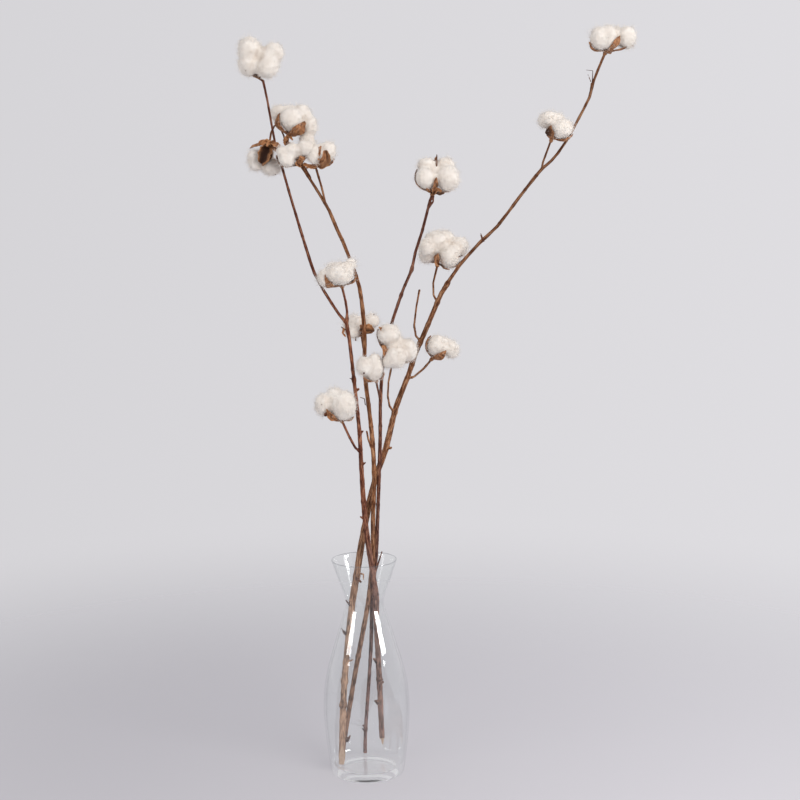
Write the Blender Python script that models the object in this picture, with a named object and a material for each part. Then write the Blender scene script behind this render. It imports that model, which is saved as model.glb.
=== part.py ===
"""A bunch of dried cotton stems that stands in a clear glass carafe vase.

The vase is turned, each stem is one grown piece with its twigs, and every boll
is a woody bur with a tuft of lint in it. +Z is up, +X is to the right, -Y is the
front, and the origin is the centre of the vase's foot. Lists of points and sizes
are in millimetres, and MM turns them into metres.
"""

import math

import bmesh
import bpy
from mathutils import Vector

MM = 0.001
GAP = 0.3  # kept between pieces that touch, mm
CUT_GAP = 0.4  # kept round a bur's plates where they are cut out of the lint

# Vase
VASE_HEIGHT = 270.0
RIM_RADIUS = 39.5
FOOT_RADIUS = 40.0
WALL = 2.2  # thickness of the blown wall
FLOOR_TOP = 10.0  # the thick bottom of the vase
FLOOR_RADIUS = 37.0
FLOOR_FILLET = (3.6, 2.0)  # (out, up) from the floor's edge to where its rounding meets the wall
FILLET_ROOM = 4.0  # the inner wall starts this far above the floor
RIM_ROUNDING = 0.9
VASE_SEGMENTS = 32
VASE_OUTLINE = [  # (radius, height) of the outer wall, from the foot to the rim
    (44.0, 3.0), (46.4, 16.0), (49.6, 42.0), (52.2, 70.0), (52.4, 93.0), (50.6, 114.0),
    (46.4, 135.0), (40.6, 154.5), (32.8, 182.0), (25.8, 202.0), (22.8, 211.0), (22.4, 218.0),
    (24.4, 226.0), (31.6, 246.0),
]

# Stems
SPACING = 17.0  # distance between the rings of a stem
SHOOT_SIDES = 8
TWIG_SIDES = 6
CUT_TOP = 38.0  # where the long slanting cut at the thick stem's foot starts
CUT_DEPTH = 7.0  # how far the cut goes through the stem, front to back

# Bolls
BUR_FOOT_RADIUS = 2.3
BUR_CUP_RADIUS = 4.0
BUR_CUP_HEIGHT = 0.7
VALVE_CURL = 0.45  # how far a valve's edges fold in, as a share of its half width
VALVE_THICKNESS = 1.1
VALVE_ROWS = [(0.2, 0.8), (0.43, 1.0), (0.66, 0.86), (0.86, 0.45)]  # (share of length, of width)
VALVE_CLEARANCE = 1.8  # from the lint to a valve's outer skin
CLEARING_ROUNDS = 3  # how often a valve's point is moved off the locks around it
SECTOR_SHARE = 0.84  # how much of the space between its neighbours a valve may fill
SEAT_HEIGHT = 2.4  # where the lint's flattened underside starts
SEAT_RADIUS = 12.0
SEAT_DEPTH = 6.0
SEAT_SIDES = 10

MERGE_DISTANCE = 1e-6  # m
SHARP_ANGLE = 40  # degrees

# Finishes: colour, roughness, metallic
FINISHES = {
    "clear_glass": ((0.90, 0.93, 0.92), 0.03, 0.0),
    "bark_grey_brown": ((0.27, 0.17, 0.10), 0.75, 0.0),
    "bark_red_brown": ((0.24, 0.09, 0.055), 0.70, 0.0),
    "bark_tan": ((0.33, 0.17, 0.09), 0.72, 0.0),
    "bark_dark_red": ((0.17, 0.075, 0.055), 0.70, 0.0),
    "dry_bur": ((0.30, 0.17, 0.09), 0.80, 0.0),
    "cotton_lint": ((0.87, 0.83, 0.78), 0.95, 0.0),
}

# Each stem: finish, then its shoots. A shoot is its number of sides, its route, whose points
# are (x, y, z, radius), and the boll that it ends at, if it bears one. The first shoot is the
# stem itself, and the rest grow from it.
STEMS = {
    "stem_long": ("bark_grey_brown", {
        "main": (SHOOT_SIDES, [
            (-32, -2, 10.6, 4.2), (-30, 0, 60, 4.1), (-27, 1, 112, 3.9), (-22, 1, 160, 4.0),
            (-16.4, 1, 205, 4.3), (-15.2, 1, 217, 4.2), (-9, 2, 250, 4.1), (-3, 3, 286, 4.1),
            (9, 5, 344, 3.9), (19, 6, 378, 3.7), (29, 7, 405, 3.9), (34, 8, 424, 3.6),
            (42, 9, 455, 3.5), (57, 10, 492, 3.2), (66, 11, 518, 3.2), (79, 12, 547, 3.1),
            (98, 14, 590, 2.9), (104, 14, 599, 3.5), (108, 14, 606, 2.2), (120, 15, 623, 2.0),
            (145, 17, 650, 2.1), (166, 18, 669, 1.9), (192, 21, 702, 1.9), (219, 23, 735, 2.0),
            (231, 24, 745, 1.6), (249, 25, 768, 1.5), (277, 28, 819, 1.6), (282, 28, 838, 1.5),
            (292, 30, 862, 1.5)], "15"),
        "bare_twig": (TWIG_SIDES, [
            (74, 12, 532, 1.3), (67, 9, 540, 1.2), (65, 8, 553, 1.1), (68, 7, 576, 1.0),
            (72, 7, 596, 1.2)]),
        "twig_09": (TWIG_SIDES, [
            (40, 8, 447, 1.3), (34, 2, 457, 1.2), (32, -5, 470, 1.1), (33, -10, 488, 1.0),
            (37, -10, 507, 1.3)], "09"),
        "twig_13": (TWIG_SIDES, [
            (56, 10, 488, 1.4), (64, 9, 491, 1.1), (76, 8, 501, 1.2)], "13"),
        "twig_12": (TWIG_SIDES, [
            (93, 14, 580, 1.4), (89, 18, 588, 1.1), (89, 24, 602, 1.0), (93, 31, 616, 1.3)], "12"),
        "twig_14": (TWIG_SIDES, [
            (219, 23, 733, 1.3), (221, 21, 744, 1.2), (225, 16, 756, 1.1)], "14"),
        "knob": (TWIG_SIDES, [(29, 7, 404, 2.0), (36, 5, 405.5, 1.5)]),
        "thorn": (TWIG_SIDES, [(149, 17, 651, 1.3), (146, 16, 659, 0.5)]),
        "neck_spur": (TWIG_SIDES, [(-15, 0, 217, 1.8), (-19.2, -3, 220, 0.8)]),
        "curled_stub": (TWIG_SIDES, [(-8, 1, 252, 1.4), (-1, -3, 252, 0.9), (-1, -4, 243, 0.4)]),
        "side_thorn": (TWIG_SIDES, [(-22, 1, 173, 1.6), (-27.6, -1, 182, 0.6)]),
        "low_thorn": (TWIG_SIDES, [(-23, 0, 141, 1.2), (-15.5, -3, 145, 0.5)]),
        "thread": (TWIG_SIDES, [(278, 28, 824, 0.9), (279, 27, 836, 0.5), (275, 26, 846, 0.4)]),
    }),
    "stem_forked": ("bark_red_brown", {
        "main": (SHOOT_SIDES, [
            (18.5, 37, 31, 3.5), (17.5, 34, 62, 3.5), (16.5, 27, 104, 3.6), (15, 20, 146, 3.5),
            (13.5, 8, 190, 3.5), (14, 1, 218, 3.9), (11.5, -5, 245, 3.5), (8, -9, 271, 3.5),
            (3, -15, 313, 3.5), (0, -20, 360, 3.1), (-1.5, -24, 400, 2.7), (-2.5, -27, 430, 2.5),
            (-6, -29, 474, 2.3), (-9, -30, 506, 2.2), (-12.5, -31, 543, 2.1),
            (-16, -33, 566, 2.3)]),
        "left_fork": (TWIG_SIDES, [
            (-15, -32, 562, 2.0), (-24, -32, 573, 1.8), (-42, -29, 602, 1.7), (-52, -28, 622, 1.9),
            (-62, -29, 655, 1.8), (-79, -28, 716, 1.5), (-87, -27, 747, 1.4), (-94, -27, 773, 1.3),
            (-102, -28, 824, 1.2), (-106, -29, 845, 1.4), (-113, -22, 849, 1.1),
            (-110, -10, 857, 1.2)], "01"),
        "right_fork": (TWIG_SIDES, [
            (-15, -32, 560, 1.9), (-14.5, -34, 577, 1.4), (-16, -36, 589, 1.4)], "06"),
        "twig_10": (TWIG_SIDES, [
            (-2.5, -25, 407, 1.6), (-8, -29, 413, 1.4), (-15, -35, 428, 1.4)], "10"),
        "stub_a": (TWIG_SIDES, [(-7, -29, 480, 1.6), (-2, -30, 484, 1.3)]),
        "stub_b": (TWIG_SIDES, [(-2.5, -26, 427, 1.4), (2, -28, 433, 0.7)]),
        "stub_c": (TWIG_SIDES, [(-1.5, -22, 389, 1.4), (4, -24, 394, 0.7)]),
        "stub_d": (TWIG_SIDES, [(1.5, -16, 322, 1.6), (-3.6, -19, 327, 0.8)]),
        "neck_twig": (TWIG_SIDES, [(12, -5, 250, 1.5), (17, -9, 266, 0.9), (22, -11, 282, 0.6)]),
        "low_stub_a": (TWIG_SIDES, [(17, 28, 103, 1.6), (21.5, 26, 108, 1.0)]),
        "low_stub_b": (TWIG_SIDES, [(17, 31, 78, 1.6), (10.5, 28, 83, 0.9)]),
        "low_stub_c": (TWIG_SIDES, [(15, 21, 134, 1.3), (9.5, 19, 140, 0.6)]),
        "splinter": (TWIG_SIDES, [(18.5, 36.8, 36, 2.0), (19, 37.4, 27, 1.4), (19, 37, 23, 0.6)]),
    }),
    "stem_tall": ("bark_tan", {
        "main": (SHOOT_SIDES, [
            (-32, 17, 11.6, 3.0), (-28, 20, 38, 3.0), (-16, 16, 108, 3.0), (-9, 12, 146, 3.0),
            (4.2, 4, 214, 3.0), (8, 1.5, 246, 3.0), (11, -1, 273, 2.9), (12, -6, 330, 2.9),
            (14, -10, 372, 2.9), (13, -12, 414, 2.9), (9, -14.5, 460, 2.7), (5, -16, 500, 2.6),
            (5.5, -17, 545, 2.5), (2.5, -19, 590, 2.4), (-3, -20, 616, 2.3), (-18, -22, 658, 2.0),
            (-24, -22, 671, 2.3), (-33, -24, 694, 2.0), (-49, -26, 722, 1.6),
            (-60, -27, 740, 1.6)], "04"),
        "second_strand": (TWIG_SIDES, [
            (-54, -26.5, 732, 1.4), (-62, -21, 747, 1.1), (-71, -15, 759, 1.0),
            (-81, -13, 768, 1.2)], "02"),
        "twig_03": (TWIG_SIDES, [
            (-80, -14, 766, 1.3), (-85, -5, 782, 0.9), (-90, -3, 793, 0.8), (-95, -8, 793, 0.9),
            (-99, -14, 785, 1.1)], "03"),
        "twig_05": (TWIG_SIDES, [
            (-32, -24, 692, 1.5), (-37, -27, 702, 1.1), (-41, -31, 721, 1.2)], "05"),
        "twig_07": (TWIG_SIDES, [
            (5.5, -17, 524, 1.4), (4, -11, 530, 1.3)], "07"),
        "stub": (TWIG_SIDES, [(12, -13, 407, 1.6), (8, -16, 420, 1.2), (6, -18, 431, 0.9)]),
        "low_knob": (TWIG_SIDES, [(-28, 20, 34, 2.0), (-22.5, 17, 39, 1.2)]),
    }),
    "stem_slender": ("bark_dark_red", {
        "main": (SHOOT_SIDES, [
            (-3, 37.5, 12, 2.2), (-2, 37, 42, 2.2), (3, 27, 104, 2.2), (7, 20, 160, 2.3),
            (8.5, 12, 205, 2.3), (12, 6.5, 245, 2.3), (15, 3, 274, 2.3), (16.5, -1, 303, 2.3),
            (19.5, -9, 365, 2.3), (22, -10, 418, 2.2), (23, -7, 462, 2.1), (26, 0, 500, 2.0),
            (31, 4, 532, 1.9), (40, 5, 562, 1.9), (53, 5, 598, 1.8), (63, 5, 620, 1.9),
            (68, 6, 642, 1.7), (76, 8, 665, 1.7), (86, 12, 701, 1.6)], "11"),
        "twig_08": (TWIG_SIDES, [
            (23, -6, 463, 1.3), (21.5, -13, 473, 1.0), (20, -19, 482, 1.2)], "08"),
        "strand": (TWIG_SIDES, [(84, 11, 692, 1.1), (89.5, 10, 700, 0.9), (90.5, 13, 707, 0.9)]),
        "low_nub": (TWIG_SIDES, [(-1.5, 37, 46, 1.5), (-5.4, 35, 49, 0.8)]),
    }),
}

# Each boll: the point where its bur sits on the twig, then its lint locks as
# (x, y, z, x radius, y radius, z radius) and its woody valves as (x, y, z, belly, half width).
# These are measured from the bur's foot. A valve's point is its tip, and its belly is how far
# it bows out from the line between its foot and its tip. One with a belly below 0 bows in.
BOLLS = {
    "01": ((-107, -17, 866), [
        (-14, -14, 17, 13, 13, 13), (-15, -15, -1, 13, 14, 15), (14, -15, 11, 12, 11, 12),
        (6, -17, -5, 14, 14, 14), (0, -11, 7, 11, 11, 12)], [
        (-14, -12, 18, 5, 8), (-16, -12, -7, 5, 7), (11, -12, -9, 5, 8), (12, -11, 14, 5, 8)]),
    "02": ((-79, -14, 781), [
        (4, -5, 19, 14, 13, 14), (-11, 7, 26, 10, 10, 10), (15, 8, 25, 12, 11, 11),
        (24, 7, 11, 10, 12, 13), (23, 7, -7, 8, 8, 11), (2, 8, 27, 10, 9, 9)], [
        (-8, -4, 27, 11, 8), (21, -12, 18, 8, 9), (9, 20, 17, 6, 8)]),
    "03": ((-101.5, -17, 770.5), [
        (-17, 0, -15, 9, 10, 12), (-16, 0, -21, 9, 9, 9), (2, 3, -25, 13, 12, 11),
        (-4, 10, -10, 9, 8, 10)], [
        (-7, -1, -23, -2, 7), (-24, 12, -4, 5, 6), (15, 10, -12, 6, 7)]),
    "04": ((-66, -29.4, 749), [
        (-15, -13, 7, 10, 10, 10), (-19, -13, 16, 8, 7, 6), (-8, -14, 17, 9, 8, 8),
        (7, -14, 19, 9.5, 8, 9.5), (0, -10, 15, 9, 8, 8)], [
        (1, -23, 11, 4, 7.5), (-27, -15, 12, 8, 6), (10, 5, 20, 5, 7), (-13, -6, 27, 4, 6)]),
    "05": ((-48, -33.4, 747), [
        (2, 0, 13.5, 8, 8, 11.5), (15, 2, 16, 10, 11, 12), (8, 2, 16, 8, 8, 10)], [
        (8, -9, 24, 8, 6.5), (-13, -4, -3, 3, 4), (23, 8, 8, 6, 6)]),
    "06": ((-20, -38.3, 607), [
        (-2, -6, 15, 17, 15, 14), (11, -5, 26, 7, 7, 7), (-20, -4, 10, 9, 8, 11),
        (-9, 0, 18, 11, 10, 10)], [
        (-18, -12, 16, 9, 7.5), (16, -6, 17, 8, 6), (-2, 13, 20, 5, 7)]),
    "07": ((2, -5, 545), [
        (-10, 13, 9, 12, 12, 14), (12, 13, 14, 10, 10, 10), (1, 18, 10, 11, 10, 11)], [
        (15, -1, 5, 3, 6), (-23, 7, 8, 7, 6), (-12, 27, 12, 5, 7), (13, 26, 14, 5, 7)]),
    "08": ((18, -25.3, 493), [
        (-14, -9, 18, 9, 10, 12), (-1, -6, 17, 10, 10, 16), (-7, -4, 16, 9, 9, 13)], [
        (-15, -13, 9, 4, 5), (10, -5, 11, 4, 5), (-2, 6, 19, 4, 6)]),
    "09": ((40.2, -11, 518), [
        (-6, -14, 29, 14, 14, 13), (1, -20, 3, 14, 13, 14), (16, -7, 9, 12, 12, 14),
        (1, -8, 17, 11, 11, 12)], [
        (-17, -11, 35, 6, 8), (21, 3, -5, 6, 6), (8, 12, 22, 5, 7), (-14, -9, -9, 4, 5.5)]),
    "10": ((-23, -41.3, 448), [
        (2, -6, 19, 16, 15, 18), (-22, -4, 20, 10, 11, 14), (-8, 0, 29, 11, 11, 11)], [
        (-19, -13, 18, 6, 6.5), (15, -4, 6, 5, 6), (-12, 14, 18, 6, 7)]),
    "11": ((89.3, 14, 709), [
        (-8, -7, 19, 13, 13, 13), (-7, 3, 34, 11, 9, 9), (18, -5, 18, 14, 15, 16),
        (16, 4, 34, 11, 9, 9), (4, 4, 24, 11, 11, 12)], [
        (-18, -3, 31, 8, 7), (5, 12, 44, 4, 7), (4, -19, 21, 3, 5), (14, -11, 2, 3, 5),
        (32, 10, 20, 8, 7)]),
    "12": ((95, 33.3, 623), [
        (-1, 2, 28, 15, 14, 13), (-13, 1, 11, 10, 10, 10), (14, -7, 10, 13, 13, 14),
        (26, 5, 20, 12, 12, 12), (5, 3, 17, 12, 11, 12)], [
        (0, -15, 15, 3, 5), (14, -10, -4, 3, 5), (34, -1, 10, 9, 6), (-14, 16, 18, 6, 7)]),
    "13": ((86, 6, 513), [
        (5, -5, 16, 12, 12, 13), (23, 0, 11, 10, 10, 12), (15, 2, 15, 9, 9, 11)], [
        (0, -6, 27, 8, 6), (17, -14, 12, 6, 6.5), (10, 14, 22, 6, 7)]),
    "14": ((230, 10, 771), [
        (-6, 6, 22, 10, 10, 10), (7, 6, 22, 10, 10, 10), (12, -4, 13, 14, 12, 12)], [
        (-1, -10, 18, 7, 6.5), (25, -5, 7, 7, 6), (8, 17, 16, 6, 7)]),
    "15": ((296, 30, 871), [
        (-7, -5, 17, 12, 12, 14), (4, -4, 18, 11, 13, 15), (25, -2, 17, 12, 12, 14),
        (15, 3, 20, 10, 10, 11)], [
        (16, -14, 20, 6, 7.5), (-19, -7, 14, 8, 7), (33, -6, 8, 7, 6), (10, 17, 16, 6, 7)]),
}


def clear_scene():
    for thing in list(bpy.data.objects):
        bpy.data.objects.remove(thing)


def finish_named(name):
    """The Principled material of one finish, made the first time that it is asked for."""
    found = bpy.data.materials.get(name)
    if found:
        return found
    colour, roughness, metallic = FINISHES[name]
    material = bpy.data.materials.new(name)
    material.use_nodes = True
    shader = material.node_tree.nodes["Principled BSDF"]
    shader.inputs["Base Color"].default_value = (*colour, 1.0)
    shader.inputs["Roughness"].default_value = roughness
    shader.inputs["Metallic"].default_value = metallic
    if name == "clear_glass":
        shader.inputs["Transmission Weight"].default_value = 1.0
    return material


def new_object(name, mesh):
    thing = bpy.data.objects.new(name, mesh)
    bpy.context.collection.objects.link(thing)
    return thing


def object_from_bmesh(name, shape):
    mesh = bpy.data.meshes.new(name)
    shape.to_mesh(mesh)
    shape.free()
    return new_object(name, mesh)


def dress(thing, finish):
    """Round pieces are shaded smooth, and get their own finish."""
    thing.data.materials.clear()
    thing.data.materials.append(finish_named(finish))
    thing.data.shade_smooth()
    thing.data.set_sharp_from_angle(angle=math.radians(SHARP_ANGLE))


def apply_modifiers(thing):
    """Bakes an object's modifiers into its mesh."""
    evaluated = thing.evaluated_get(bpy.context.evaluated_depsgraph_get())
    mesh = bpy.data.meshes.new_from_object(evaluated)
    thing.modifiers.clear()
    thing.data = mesh


def combine(base, others, operation):
    """Joins or cuts base with the other objects by exact Booleans, and removes the others."""
    for other in others:
        boolean = base.modifiers.new("combine", "BOOLEAN")
        boolean.operation = operation
        boolean.solver = "EXACT"
        boolean.object = other
    apply_modifiers(base)
    for other in others:
        bpy.data.objects.remove(other)
    return base


def smooth_line(route, spacing):
    """Places read from a Catmull-Rom line through the route, about one spacing apart."""
    knots = [Vector(point) for point in route]
    first = knots[0] * 2 - knots[1]
    last = knots[-1] * 2 - knots[-2]
    padded = [first, *knots, last]
    places = []
    for before, start, end, after in zip(padded, padded[1:], padded[2:], padded[3:]):
        steps = max(1, round((end - start).length / spacing))
        for step in range(steps):
            t = step / steps
            places.append(0.5 * (
                2 * start
                + (end - before) * t
                + (2 * before - 5 * start + 4 * end - after) * t ** 2
                + (3 * start - before - 3 * end + after) * t ** 3))
    return [*places, knots[-1]]


# ---------------------------------------------------------------- vase

def vase_profile():
    """The half section of the vase, from the middle of its foot to the middle of its floor."""
    rim = (RIM_RADIUS, VASE_HEIGHT - RIM_ROUNDING)
    foot = (FOOT_RADIUS, 0.0)
    outer = [Vector(point) for point in (foot, *VASE_OUTLINE, rim)]
    inner = []
    for before, here, after in zip(outer, outer[1:], outer[2:]):
        along = (after - before).normalized()
        inner.append(here + Vector((-along.y, along.x)) * WALL)
    inner = [point for point in inner if point.y > FLOOR_TOP + FILLET_ROOM]
    rim_top = Vector((RIM_RADIUS - RIM_ROUNDING, VASE_HEIGHT))
    rim_inside = Vector((RIM_RADIUS - RIM_ROUNDING * 2, VASE_HEIGHT - RIM_ROUNDING))
    floor_edge = Vector((FLOOR_RADIUS, FLOOR_TOP))
    floor = [floor_edge + Vector(FLOOR_FILLET), floor_edge, Vector((0.0, FLOOR_TOP))]
    return [Vector((0.0, 0.0)), *outer, rim_top, rim_inside, *reversed(inner), *floor]


def make_vase():
    shape = bmesh.new()
    corners = [shape.verts.new((point.x * MM, 0.0, point.y * MM)) for point in vase_profile()]
    for lower, upper in zip(corners, corners[1:]):
        shape.edges.new((lower, upper))
    bmesh.ops.spin(
        shape, geom=shape.verts[:] + shape.edges[:], axis=(0, 0, 1), cent=(0, 0, 0),
        angle=math.tau, steps=VASE_SEGMENTS, use_merge=True)
    bmesh.ops.remove_doubles(shape, verts=shape.verts[:], dist=MERGE_DISTANCE)
    bmesh.ops.recalc_face_normals(shape, faces=shape.faces[:])
    vase = object_from_bmesh("vase", shape)
    dress(vase, "clear_glass")


# ---------------------------------------------------------------- stems

def boll_axis(number):
    """The way that a boll faces, from its bur's foot to the middle of its lint."""
    return lint_middle(BOLLS[number][1]).normalized()


def end_at_boll(point, number):
    """The last point of a shoot, whose end stops a gap short of the bur that it bears."""
    foot = Vector(BOLLS[number][0])
    along = (foot - Vector(point[:3])).normalized()
    turn = along.angle(boll_axis(number))
    pull = (GAP + point[3] * math.sin(turn)) / math.cos(turn)
    return (*(foot - along * pull), point[3])


def make_shoot(name, sides, route, boll=None):
    """One tapering shoot with closed ends, swept along its route."""
    if boll:
        route = [*route, end_at_boll(route[-1], boll)]
    curve = bpy.data.curves.new(name, "CURVE")
    curve.dimensions = "3D"
    curve.bevel_depth = MM
    curve.bevel_resolution = sides // 2 - 2
    curve.use_fill_caps = True
    places = smooth_line(route, SPACING)
    line = curve.splines.new("POLY")
    line.points.add(len(places) - 1)
    for point, place in zip(line.points, places):
        point.co = (place[0] * MM, place[1] * MM, place[2] * MM, 1.0)
        point.radius = place[3]
    swept = new_object(name, curve)
    bpy.context.view_layer.update()
    mesh = bpy.data.meshes.new_from_object(swept)
    bpy.data.objects.remove(swept)
    shape = bmesh.new()
    shape.from_mesh(mesh)
    bmesh.ops.remove_doubles(shape, verts=shape.verts[:], dist=MERGE_DISTANCE)
    bmesh.ops.recalc_face_normals(shape, faces=shape.faces[:])
    return object_from_bmesh(name, shape)


def slant_cut(stem):
    """Slices the front of the thick stem's foot away, as a knife leaves it."""
    foot = STEMS["stem_long"][1]["main"][1][0]
    radius = foot[3]
    height = CUT_TOP - foot[2]
    away = Vector((0.0, -height, -CUT_DEPTH)).normalized()
    start = Vector((foot[0], foot[1] - radius, CUT_TOP)) * MM
    shape = bmesh.new()
    shape.from_mesh(stem.data)
    geometry = shape.verts[:] + shape.edges[:] + shape.faces[:]
    bmesh.ops.bisect_plane(shape, geom=geometry, plane_co=start, plane_no=away, clear_outer=True)
    rim = [edge for edge in shape.edges if edge.is_boundary]
    bmesh.ops.holes_fill(shape, edges=rim)
    shape.to_mesh(stem.data)
    shape.free()


def make_stem(name, finish, shoots):
    grown = [make_shoot(name + "_" + shoot, *shape) for shoot, shape in shoots.items()]
    stem = combine(grown[0], grown[1:], "UNION")
    stem.name = name
    if name == "stem_long":
        slant_cut(stem)
    dress(stem, finish)


# ---------------------------------------------------------------- bolls

def lint_middle(locks):
    """The middle of a boll's lint, seen from the bur's foot."""
    return sum((Vector(lock[:3]) for lock in locks), Vector()) / len(locks)


def around(axis, direction):
    """The angle of a direction round the boll's axis."""
    across = axis.orthogonal().normalized()
    return math.atan2(direction.dot(axis.cross(across)), direction.dot(across))


def on_ring(axis, angle, radius, height):
    across = axis.orthogonal().normalized()
    side = across * math.cos(angle) + axis.cross(across) * math.sin(angle)
    return side * radius + axis * height


def clear_of_lint(place, locks):
    """The place, moved straight out of every lock that it is in or too near to."""
    for _ in range(CLEARING_ROUNDS):
        for lock in locks:
            middle = Vector(lock[:3])
            depth = Vector([
                offset / (radius + VALVE_CLEARANCE)
                for offset, radius in zip(place - middle, lock[3:])])
            if depth.length < 1:
                place = middle + (place - middle) / depth.length
    return place


def turn_from(angle, place, axis):
    """How far a place lies round the axis from an angle, between half a turn back and forth."""
    return (around(axis, place) - angle + math.pi) % math.tau - math.pi


def within_sector(place, axis, angle, sector):
    """The place, turned round the axis until it is no further than a sector from an angle."""
    height = place.dot(axis)
    radius = (place - axis * height).length
    turn = turn_from(angle, place, axis)
    return on_ring(axis, angle + max(-sector, min(sector, turn)), radius, height)


def valve_row(root, tip, belly, middle, share, half):
    """One edge, the spine and the other edge of a valve at a share of its length."""
    chord = tip - root
    outward = (root + tip) / 2 - middle
    outward = (outward - outward.project(chord)).normalized()
    bend = (root + tip) / 2 + outward * belly * 2
    spine = root * (1 - share) ** 2 + bend * 2 * share * (1 - share) + tip * share ** 2
    along = ((bend - root) * (1 - share) + (tip - bend) * share).normalized()
    back = (outward - outward.project(along)).normalized()
    side = along.cross(back)
    fold = back * half * math.copysign(VALVE_CURL, belly)
    left = spine + side * half - fold
    right = spine - side * half - fold
    return [left, spine, right]


def bur_sheet(locks, valves):
    """The outer skin of a bur: a small cup that splits into pointed valves."""
    middle = lint_middle(locks)
    axis = middle.normalized()
    valves = sorted(valves, key=lambda valve: around(axis, Vector(valve[:3])))
    angles = [around(axis, Vector(valve[:3])) for valve in valves]
    nexts = [*angles[1:], angles[0] + math.tau]
    spaces = [after - here for here, after in zip(angles, nexts)]
    splits = [here + space / 2 for here, space in zip(angles, spaces)]
    ring = [angle for pair in zip(angles, splits) for angle in pair]
    shape = bmesh.new()
    foot = [shape.verts.new(on_ring(axis, angle, BUR_FOOT_RADIUS, 0)) for angle in ring]
    cup = [shape.verts.new(on_ring(axis, angle, BUR_CUP_RADIUS, BUR_CUP_HEIGHT)) for angle in ring]
    shape.faces.new(foot)
    for index in range(len(ring)):
        after = (index + 1) % len(ring)
        shape.faces.new((foot[index], foot[after], cup[after], cup[index]))
    for index, (x, y, z, belly, half) in enumerate(valves):
        sector = min(spaces[index], spaces[index - 1]) / 2 * SECTOR_SHARE
        tip = clear_of_lint(Vector((x, y, z)), locks)
        spine = cup[2 * index]
        row = [cup[2 * index + 1], spine, cup[2 * index - 1]]
        for share, width in VALVE_ROWS:
            places = valve_row(spine.co, tip, belly, middle, share, half * width)
            places.sort(key=lambda place: -turn_from(angles[index], place, axis))
            places = [within_sector(place, axis, angles[index], sector) for place in places]
            here = [shape.verts.new(clear_of_lint(place, locks)) for place in places]
            for a, b in ((0, 1), (1, 2)):
                shape.faces.new((row[a], row[b], here[b], here[a]))
            row = here
        point = shape.verts.new(tip)
        shape.faces.new((row[0], row[1], point))
        shape.faces.new((row[1], row[2], point))
    bmesh.ops.recalc_face_normals(shape, faces=shape.faces[:])
    bottom = min(shape.faces, key=lambda face: face.calc_center_median().dot(axis))
    if bottom.normal.dot(axis) > 0:
        bmesh.ops.reverse_faces(shape, faces=shape.faces[:])
    return shape


def place_mesh(thing, foot):
    """Moves a mesh that was made round the bur's foot, in millimetres, to its place in metres."""
    for vertex in thing.data.vertices:
        vertex.co = (vertex.co + Vector(foot)) * MM


def make_bur(number, foot, locks, valves):
    """The bur, and its plates: the corners of each face of its outer skin and of its inner one."""
    bur = object_from_bmesh("bur_" + number, bur_sheet(locks, valves))
    count = len(bur.data.vertices)
    faces = [list(face.vertices) for face in bur.data.polygons]
    wall = bur.modifiers.new("wall", "SOLIDIFY")
    wall.thickness = VALVE_THICKNESS
    wall.offset = -1
    apply_modifiers(bur)
    corners = [vertex.co.copy() for vertex in bur.data.vertices]
    plates = [([corners[i] for i in face], [corners[count + i] for i in face]) for face in faces]
    place_mesh(bur, foot)
    dress(bur, "dry_bur")
    return plates


def plate_cutter(outer, inner):
    """A convex block that holds one plate of a bur with a gap all round it."""
    out = (sum(outer, Vector()) - sum(inner, Vector())).normalized()
    across = out.orthogonal().normalized()
    along = out.cross(across)
    shape = bmesh.new()
    for side, corners in ((1, outer), (-1, inner)):
        for corner in corners:
            for step in (across + along, across - along, along - across, -across - along):
                shape.verts.new(corner + (out * side + step) * CUT_GAP)
    bmesh.ops.convex_hull(shape, input=shape.verts[:])
    loose = [vertex for vertex in shape.verts if not vertex.link_faces]
    bmesh.ops.delete(shape, geom=loose, context="VERTS")
    bmesh.ops.recalc_face_normals(shape, faces=shape.faces[:])
    return object_from_bmesh("block", shape)


def keep_largest_body(thing):
    """Drops the crumbs that a cut leaves, so that one body is left."""
    shape = bmesh.new()
    shape.from_mesh(thing.data)
    unseen = set(shape.verts)
    bodies = []
    while unseen:
        body = set()
        edge = [unseen.pop()]
        while edge:
            vertex = edge.pop()
            body.add(vertex)
            near = {link.other_vert(vertex) for link in vertex.link_edges} & unseen
            unseen -= near
            edge.extend(near)
        bodies.append(body)
    largest = max(bodies, key=len)
    crumbs = [vertex for body in bodies if body is not largest for vertex in body]
    bmesh.ops.delete(shape, geom=crumbs, context="VERTS")
    shape.to_mesh(thing.data)
    shape.free()


def make_lock(lock):
    shape = bmesh.new()
    bmesh.ops.create_icosphere(shape, subdivisions=2, radius=1.0)
    bmesh.ops.scale(shape, vec=lock[3:], verts=shape.verts[:])
    bmesh.ops.translate(shape, vec=lock[:3], verts=shape.verts[:])
    return object_from_bmesh("lock", shape)


def make_seat(axis):
    """What the bur's cup keeps free of lint: a wide cone round the boll's axis."""
    shape = bmesh.new()
    bmesh.ops.create_cone(
        shape, cap_ends=True, segments=SEAT_SIDES, radius1=SEAT_RADIUS / 2, radius2=SEAT_RADIUS,
        depth=SEAT_DEPTH)
    bmesh.ops.translate(shape, vec=(0, 0, SEAT_HEIGHT - SEAT_DEPTH / 2), verts=shape.verts[:])
    turn = Vector((0, 0, 1)).rotation_difference(axis).to_matrix()
    bmesh.ops.rotate(shape, cent=(0, 0, 0), matrix=turn, verts=shape.verts[:])
    return object_from_bmesh("seat", shape)


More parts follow.
